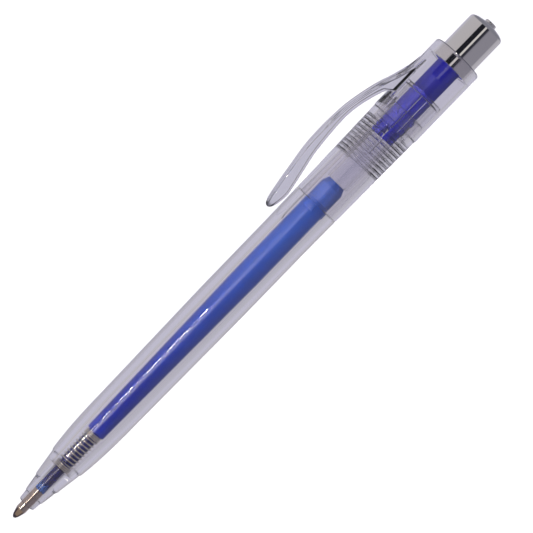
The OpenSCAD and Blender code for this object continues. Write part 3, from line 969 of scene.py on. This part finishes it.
@dataclass
class ClickWorks:
    """Button, plunger, cam sleeve and rotor, which hold the point in or out."""

    button_wall: float = 0.5
    button_round: float = 0.9
    dome: float = 0.5
    dome_line: tuple[Point, ...] = ((0.34, 0.74), (0.68, 0.55))
    pip_r: float = 1.35
    pip_h: float = 0.6
    pip_round: float = 0.18
    plunger_r: float = 2.8
    plunger_bore_r: float = 1.7
    crown_h: float = 2.4
    crown_teeth: int = 8
    tooth_share: float = 0.55
    cup_floor: float = 3.0
    key_len: float = 1.0
    key_back: float = 6.1
    play: float = 0.08
    cams: int = 4
    groove_r: float = 3.23
    rib_r: float = 2.88
    rib_angle: float = 26.0
    fin_angle: float = 12.0
    fin_len: float = 4.0
    rotor_r: float = 2.63
    rotor_bore_r: float = 2.03
    collar_len: float = 0.8

    def build_button(self) -> None:
        """Turns the chromed button: a thin cup with a rounded shoulder, a dome and a pip."""
        front, radius = low("push_button").x, high("push_button").z
        rear = high("push_button").x - self.pip_h
        end, inner = rear - self.dome, radius - self.button_wall
        points = [(front, inner), (front, radius)]
        points += arc((end - self.button_round, radius - self.button_round), self.button_round, 90, 12, 12)
        points += [(end + along * self.dome, out * radius) for along, out in self.dome_line]
        points += [(rear - 0.03, self.pip_r + 0.3), (rear, self.pip_r)]
        corner = (rear + self.pip_h - self.pip_round, self.pip_r - self.pip_round)
        points += arc(corner, self.pip_round, 90, 0)
        points += [(rear + self.pip_h, 0), (end - self.button_wall, 0), (end - self.button_wall, inner)]
        piece = turn_piece("chromed_push_button", points, steps=128)
        trim(piece, 0.06, smooth=40)
        fit_piece(piece, Slot.CHROME, ["push_button"], CHROME.material(), Body.BUTTON)

    def build_plunger(self) -> None:
        """Turns the plunger, then draws out its crown of teeth and its keys."""
        box_low, box_high = low("plunger"), high("plunger")
        root, cup, head = box_low.x + self.crown_h, low("push_button").x, box_high.x
        radius, floor = self.plunger_r, cup - self.cup_floor
        key = high("cam_sleeve").x - self.collar_len - self.key_back
        points = [(root, self.plunger_bore_r), (root, radius), (key, radius), (key + self.key_len, radius),
                  (cup, radius), (cup, box_high.z), (head, box_high.z), (head, 0), (floor, 0),
                  (floor, self.plunger_bore_r)]
        piece = turn_piece("navy_plunger", points, steps=128)
        wide = 360 * self.tooth_share / self.crown_teeth
        if select_faces(piece, lambda c: abs(c.x - root) < 0.02
                        and in_sectors(c, spaced(self.crown_teeth), wide)):
            bpy.ops.mesh.extrude_region_move(
                TRANSFORM_OT_translate={"value": (-self.crown_h * MM, 0, 0)})
        bpy.ops.object.mode_set(mode="OBJECT")
        raise_faces(piece, lambda c: key < c.x < key + self.key_len and radius_of(c) > 0.95 * radius
                    and in_sectors(c, spaced(self.cams, 0.5), 2 * self.fin_angle),
                    (self.groove_r - self.play) / radius)
        trim(piece, 0.06, smooth=40)
        fit_piece(piece, Slot.NAVY, ["plunger"], PLUNGER.material(), Body.BUTTON)

    def build_sleeve(self) -> None:
        """Turns the cam sleeve and draws its stop ribs inwards."""
        front, rear, radius = low("cam_sleeve").x, high("cam_sleeve").x, high("cam_sleeve").z
        joint, collar = high("upper_barrel").x + PRESS_GAP, high("cam_sleeve").x - self.collar_len
        front_r = UpperBarrel.bore_r - self.play
        points = [(front, self.groove_r), (front, front_r), (joint, front_r), (joint, radius), (rear, radius),
                  (rear, self.rib_r), (collar, self.rib_r), (collar, self.groove_r)]
        piece = turn_piece("clear_cam_sleeve", points, steps=120)
        raise_faces(piece, lambda c: c.x < collar and abs(radius_of(c) - self.groove_r) < 0.02
                    and in_sectors(c, spaced(self.cams), self.rib_angle),
                    self.rib_r / self.groove_r)
        trim(piece, 0.12)
        fit_piece(piece, Slot.CLEAR_INNER, ["cam_sleeve"], CLEAR_INNER.material(), Body.CASING)

    def build_rotor(self) -> None:
        """Turns the rotor's tube and draws out its fins."""
        front, rear, reach = low("cam_rotor").x, high("cam_rotor").x, high("cam_rotor").z
        fins = rear - self.fin_len
        points = [(front, self.rotor_bore_r), (front, self.rotor_r), (fins, self.rotor_r),
                  (rear, self.rotor_r), (rear, self.rotor_bore_r)]
        piece = turn_piece("clear_cam_rotor", points, steps=120)
        raise_faces(piece, lambda c: c.x > fins and abs(radius_of(c) - self.rotor_r) < 0.02
                    and in_sectors(c, spaced(self.cams), self.fin_angle),
                    reach / self.rotor_r)
        trim(piece, 0.05)
        fit_piece(piece, Slot.CLEAR_INNER, ["cam_rotor"], CLEAR_INNER.material(), Body.ROTOR)

    def build(self) -> None:
        """Builds the click works from the outside in."""
        self.build_button()
        self.build_plunger()
        self.build_sleeve()
        self.build_rotor()


# ---- Refill ----


@dataclass
class Refill:
    """Ink tube with its end plug, point holder, metal point, ball, ink and grease."""

    tube_wall: float = 0.45
    tube_front_r: float = 2.12
    tube_rear_r: float = 2.74
    taper: float = 0.69
    plug_r: float = 2.66
    neck_r: float = 1.2
    thick_r: float = 1.52
    thick_back: float = 1.78
    lug_len: float = 1.5
    lug_back: float = 2.4
    lug_angle: float = 40.0
    lugs: tuple[float, ...] = (180.0, 60.0, -60.0)
    shank_r: float = 0.8
    shank_len: float = 3.0
    point_r: float = 1.15
    cone_x: float = 2.36
    nib: tuple[Point, ...] = ((0.42, 0.5), (0.62, 0.64), (1.1, 0.8), (1.7, 0.98))
    bore_r: float = 0.45
    channel_r: float = 0.14
    groove: tuple[float, float, float] = (1.55, 1.87, 0.07)
    feed_r: float = 0.55
    vent_r: float = 0.4
    chamfer: Point = (1.4, 0.6)

    def build_tube(self) -> None:
        """Turns the ink tube and raises the three lugs that centre it in the barrel."""
        front, rear, lug_r = low("refill_tube").x, high("refill_tube").x, high("refill_tube").z
        lug = rear - self.lug_back
        lug_end = lug + self.lug_len
        full, at_lug = front + self.taper * (rear - front), self.tube_rear_r
        points = [(front, self.neck_r + GLUE_GAP), (front, self.tube_front_r), (full, at_lug), (lug, at_lug),
                  (lug_end, at_lug), (lug_end + 0.1, self.plug_r), (rear, self.plug_r),
                  (rear, self.tube_rear_r - self.tube_wall), (full, self.tube_rear_r - self.tube_wall),
                  (front + 1.2, self.tube_front_r - self.tube_wall), (front + 1.0, self.neck_r + GLUE_GAP)]
        piece = turn_piece("blue_ink_tube", points, steps=120)
        raise_faces(piece, lambda c: lug < c.x < lug_end and radius_of(c) > self.plug_r
                    and in_sectors(c, self.lugs, self.lug_angle), lug_r / at_lug)
        trim(piece, 0.08, edge=40, smooth=40)
        fit_piece(piece, Slot.BLUE, ["refill_tube"], INK_TUBE.material(), Body.REFILL)

    def build_plug(self) -> None:
        """Turns the end plug, with its chamfer and the ring where it meets the tube."""
        front, rear, tube_end = low("refill_plug").x, high("refill_plug").x, high("refill_tube").x
        inner, ring = self.tube_rear_r - self.tube_wall - PRESS_GAP, tube_end + PRESS_GAP
        points = [(front, self.vent_r), (front, inner - 0.1), (tube_end, inner), (ring, inner),
                  (ring, self.plug_r), (rear - self.chamfer[0], self.plug_r),
                  (rear, self.plug_r - self.chamfer[1]), (rear, self.vent_r)]
        piece = turn_piece("periwinkle_end_plug", points, steps=96)
        trim(piece, 0.08, edge=20, smooth=40)
        fit_piece(piece, Slot.LIGHT_BLUE, ["refill_plug"], END_PLUG.material(), Body.REFILL)

    def build_holder(self) -> None:
        """Turns the holder of the metal point, with a small groove round its front."""
        front, rear = low("tip_holder").x, high("tip_holder").x
        shank = front + self.shank_len + PRESS_GAP
        step, tube = low("return_spring").x + self.thick_back, low("refill_tube").x - GLUE_GAP
        start, end, depth = front + self.groove[0], front + self.groove[1], self.groove[2]
        points = [(front, self.shank_r + GLUE_GAP), (front, self.neck_r - 0.03), (front + 0.06, self.neck_r),
                  (start, self.neck_r), (start + depth, self.neck_r - depth),
                  (end - depth, self.neck_r - depth), (end, self.neck_r), (step, self.neck_r),
                  (step + 0.2, self.thick_r), (tube, self.thick_r), (tube, self.neck_r), (rear, self.neck_r),
                  (rear, self.feed_r), (shank, self.feed_r), (shank, self.shank_r + GLUE_GAP)]
        piece = turn_piece("blue_point_holder", points, steps=80)
        smooth_faces(piece, 40)
        fit_piece(piece, Slot.LIGHT_BLUE, ["tip_holder"], HOLDER.material(), Body.REFILL)

    def build_point(self) -> None:
        """Turns the metal point and its ball."""
        front, rear, ball_r = low("point_body").x, high("point_body").x, high("writing_ball").z
        shoulder = rear - self.shank_len
        points = [(front, ball_r - 0.005), (front, ball_r + 0.05), *self.nib,
                  (self.cone_x - 0.2, self.point_r - 0.04), (self.cone_x, self.point_r),
                  (shoulder, self.point_r), (shoulder, self.shank_r), (rear, self.shank_r),
                  (rear, self.bore_r), (2.2, self.bore_r), (1.7, self.channel_r),
                  (2 * ball_r + 0.12, self.channel_r), (2 * ball_r - 0.04, ball_r + GLUE_GAP),
                  (ball_r, ball_r + GLUE_GAP)]
        piece = turn_piece("metal_writing_point", points, steps=80)
        smooth_faces(piece, 40)
        fit_piece(piece, Slot.NICKEL_SILVER, ["point_body"], POINT_METAL.material(), Body.REFILL)
        half = arc((ball_r, 0), ball_r, 180, 0, 20)
        ball = turn_piece("writing_ball_carbide", half, closed=False, steps=40)
        smooth_faces(ball, 60)
        fit_piece(ball, Slot.CARBIDE, ["writing_ball"], BALL_METAL.material(), Body.BALL)

    def build_contents(self) -> None:
        """Turns the column of ink and the grease that follows it, each with its rounded end."""
        for name, node, slot, finish in (("gel_ink_column", "gel_ink", Slot.INK, INK),
                                         ("follower_grease", "ink_follower", Slot.GREASE, CLEAR_GREASE)):
            front, rear, radius = low(node).x, high(node).x, high(node).z
            start = low("refill_tube").x
            full = start + self.taper * (high("refill_tube").x - start)
            slope = (self.tube_rear_r - self.tube_front_r) / (full - start)
            points = [(front, 0), (front, radius - slope * max(0.0, full - front))]
            points += [(full, radius)] if front < full < rear else []
            points += [(rear, radius), (rear, 0)]
            piece = turn_piece(name, points, closed=False, steps=64)
            smooth_faces(piece, 40)
            fit_piece(piece, slot, [node], finish.material(), Body.REFILL)

    def build(self) -> None:
        """Builds the refill from the rear to the ball."""
        self.build_tube()
        self.build_plug()
        self.build_holder()
        self.build_point()
        self.build_contents()


@dataclass
class ReturnSpring:
    """Round-wire return spring with close coils at both ends."""

    wire_r: float = 0.2
    close_turns: float = 3.0
    open_turns: float = 8.5
    per_turn: int = 28
    gap: float = 0.02

    def rise(self, turn: float, length: float) -> float:
        """How far the wire has come along the pen.

        Args:
            turn: Number of turns from the front.
            length: Length of the spring between the middles of its end coils.

        Returns:
            The distance.
        """
        close = 2 * self.wire_r + self.gap
        pitch = (length - 2 * self.close_turns * close) / self.open_turns
        if turn < self.close_turns:
            return turn * close
        if turn < self.close_turns + self.open_turns:
            return self.close_turns * close + (turn - self.close_turns) * pitch
        return length - (2 * self.close_turns + self.open_turns - turn) * close

    def build(self) -> None:
        """Draws the wire's path and gives it its thickness."""
        front, rear, radius = low("return_spring").x, high("return_spring").x, high("return_spring").z
        middle, length = radius - self.wire_r, rear - front - 2 * self.wire_r
        count = round((2 * self.close_turns + self.open_turns) * self.per_turn)
        path = []
        for i in range(count + 1):
            turn = i / self.per_turn
            path.append(Vector((front + self.wire_r + self.rise(turn, length),
                                middle * math.cos(math.tau * turn), middle * math.sin(math.tau * turn))) * MM)
        draw_path("steel_return_spring", path)
        bpy.ops.object.mode_set(mode="OBJECT")
        bpy.ops.object.convert(target="CURVE")
        piece = bpy.context.active_object
        piece.data.bevel_depth = self.wire_r * MM
        piece.data.bevel_resolution = 3
        piece.data.use_fill_caps = True
        bpy.ops.object.convert(target="MESH")
        piece = bpy.context.active_object
        bpy.ops.object.mode_set(mode="EDIT")
        close_skin(piece)
        smooth_faces(piece, 60)
        fit_piece(piece, Slot.SPRING, ["return_spring"], SPRING_WIRE.material())
        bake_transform(piece)


# ---- Studio ----


@dataclass
class Studio:
    """Plain white table, a light tent round the pen and the camera above it."""

    square_over: float = 90.0
    aim: tuple[float, float] = (84.5, -1.55)
    distance: float = 470.0
    roll: float = 15.0
    slope: float = 45.95
    lens: float = 154.3
    shift: tuple[float, float] = (-0.07, -0.0724)
    table_size: float = 6000.0
    table_gap: float = 0.2
    strip_size: Point = (205.0, 6.0)
    strip_power: float = 0.55
    strip_colour: str = "FFF6E8"
    strip_x: float = -78.0
    strip_height: float = 450.0
    strip_lead: float = 22.0
    bands: tuple[tuple[float, str], ...] = (
        (-180, "C2C0D0"), (-142, "C2C0D0"), (-132, "BCBAC4"), (-92, "B4B2BC"), (-82, "8C8A96"),
        (-10, "8C8A96"), (-6, "6E6C78"), (20, "6E6C78"), (24, "A4A2AE"), (48, "A4A2AE"), (52, "BAB6BA"),
        (138, "BCB9C0"), (150, "C2C0D0"), (180, "C2C0D0"))
    ends: tuple[tuple[str, float, float], ...] = (("82828E", 0.26, 0.6), ("4A4858", -0.26, -0.55))

    def light(self) -> None:
        """Lights the pen from a tent: its walls are bands along the pen, and its ends are darker."""
        world = bpy.data.worlds.new("light_tent")
        bpy.context.scene.world = world
        world.use_nodes = True
        tree = world.node_tree
        tree.nodes.clear()
        place = add_node(tree, "TexCoord")
        parts = add_node(tree, "SeparateXYZ", links={0: place.outputs["Generated"]})
        turn = add_node(tree, "Math", settings={"operation": "ARCTAN2"},
                        links={0: parts.outputs[1], 1: parts.outputs[2]})
        share = add_node(tree, "MapRange",
                         values={"From Min": -math.pi, "From Max": math.pi}, links={"Value": turn.outputs[0]})
        ramp = add_node(tree, "ValToRGB", links={0: share.outputs[0]})
        set_ramp(ramp, [((angle + 180) / 360, linear(colour)) for angle, colour in self.bands])
        shown = ramp.outputs[0]
        for colour, start, end in self.ends:
            share = add_node(tree, "MapRange", settings={"interpolation_type": "SMOOTHSTEP"},
                             values={"From Min": start, "From Max": end}, links={"Value": parts.outputs[0]})
            mixed = add_node(tree, "Mix", settings={"data_type": "RGBA"},
                             values={7: linear(colour)}, links={0: share.outputs[0], 6: shown})
            shown = mixed.outputs[2]
        back = add_node(tree, "Background", values={"Strength": 1.0}, links={"Color": shown})
        add_node(tree, "OutputWorld", links={"Surface": back.outputs[0]})

    def card(self, name: str, colour: str, turns: tuple[float, float], places: tuple[float, float],
             radius: float = 60.0) -> None:
        """Stands a curved card beside the pen, for the bright plate to mirror.

        Args:
            name: Name of the card.
            colour: Colour of the card, as six hex digits.
            turns: Its two edges, from +Z towards +Y.
            places: Its two ends along the pen.
            radius: Its distance from the pen's axis.
        """
        card = draw_outline(name, [(places[0], radius), (places[1], radius)], False)
        bpy.ops.transform.rotate(value=math.radians(turns[0] - 90), orient_axis="X", center_override=CENTRE)
        bpy.ops.mesh.spin(steps=12, angle=math.radians(turns[1] - turns[0]), center=CENTRE, axis=AXIS)
        bpy.ops.object.mode_set(mode="OBJECT")
        material, _, _ = new_material(name, {
            "Base Color": linear("000000"), "Roughness": 1.0, "Specular IOR Level": 0.0,
            "Emission Color": linear(colour), "Emission Strength": 1.0})
        card.data.materials.append(material)
        card.visible_camera = False
        card.visible_diffuse = False
        card.visible_shadow = False
        card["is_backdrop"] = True

    def cards(self) -> None:
        """Stands the dark cards beside the button."""
        button = (low("push_button").x + 0.5, high("push_button").x + 24)
        self.card("wide_dark_card", "1E1F26", (22.5, 48.5), button)
        self.card("silver_card", "D6D2D0", (11.5, 21.5), button)
        self.card("narrow_dark_card", "34343E", (-2.5, 10.5), button)
        self.card("warm_card_at_the_point", "A0948A", (-70, 80), (-85, -16))

    def strip_light(self) -> None:
        """Hangs a narrow strip light over the front half of the pen, on the clip's side."""
        lamp = bpy.data.lights.new("strip_light", "AREA")
        lamp.shape = "RECTANGLE"
        lamp.size, lamp.size_y = (side * MM for side in self.strip_size)
        lamp.energy = self.strip_power
        lamp.color = linear(self.strip_colour)[:3]
        holder = bpy.data.objects.new("strip_light", lamp)
        bpy.context.scene.collection.objects.link(holder)
        tilt, height = math.radians(self.roll + self.strip_lead), self.strip_height * MM
        holder.location = (self.strip_x * MM, height * math.sin(tilt), height * math.cos(tilt))
        holder.rotation_euler = (-tilt, 0, 0)
        holder.visible_camera = False
        holder.visible_diffuse = False

    def table(self) -> None:
        """Lays the plain white table that the pen lies on."""
        clear_bench()
        bpy.ops.mesh.primitive_grid_add(x_subdivisions=4, y_subdivisions=4, size=self.table_size * MM,
                                        location=(0.07, 0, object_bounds()[0].z - self.table_gap * MM))
        table = bpy.context.active_object
        table.name = "white_table"
        material, tree, shader = new_material("white_laminate", {
            "Base Color": linear("FFFFFF"), "Roughness": 0.9, "Emission Color": linear("FFFFFF"),
            "Emission Strength": 0.9})
        add_bump(tree, shader, stretched_noise(tree, 40.0, 40.0, 2.0), 0.02, 0.1)
        table.data.materials.append(material)
        table.visible_transmission = False
        table.visible_glossy = False
        table.visible_diffuse = False
        table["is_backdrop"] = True

    def camera(self) -> None:
        """Puts the camera over the pen, a little towards the clip, and turns it to set the pen aslant."""
        side = math.radians(self.roll)
        back_square = Vector((0, math.sin(side), math.cos(side)))
        across = Vector((0, math.cos(side), -math.sin(side)))
        place = Vector((self.square_over * MM, 0, 0)) + back_square * self.distance * MM
        target = Vector((self.aim[0] * MM, 0, 0)) + across * self.aim[1] * MM
        back = (place - target).normalized()
        along = Vector(AXIS) - back * Vector(AXIS).dot(back)
        along.normalize()
        side_way = back.cross(along)
        turn = math.radians(self.slope)
        right = along * math.cos(turn) - side_way * math.sin(turn)
        up = back.cross(right)
        data = bpy.data.cameras.new("camera")
        data.lens = self.lens
        data.sensor_width = 36.0
        data.shift_x, data.shift_y = self.shift
        data.clip_start, data.clip_end = 0.01, 20.0
        holder = bpy.data.objects.new("camera", data)
        bpy.context.scene.collection.objects.link(holder)
        holder.matrix_world = Matrix.Translation(place) @ Matrix((right, up, back)).transposed().to_4x4()
        bpy.context.scene.camera = holder

    def build(self) -> None:
        """Sets up light, table and camera, and shows colours as they are."""
        scene = bpy.context.scene
        scene.view_settings.view_transform = "Standard"
        scene.cycles.max_bounces = 40
        scene.cycles.transmission_bounces = 40
        scene.cycles.transparent_max_bounces = 16
        self.light()
        self.cards()
        self.strip_light()
        self.table()
        self.camera()


def main() -> None:
    """Builds the pen and its studio."""
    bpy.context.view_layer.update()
    thread = Thread()
    for part in (LowerBarrel(thread), UpperBarrel(thread), CapAndClip(), ClickWorks(), Refill(),
                 ReturnSpring()):
        part.build()
        LOG.info("%s is built", type(part).__name__)
    Studio().build()


if __name__ == "__main__":
    main()
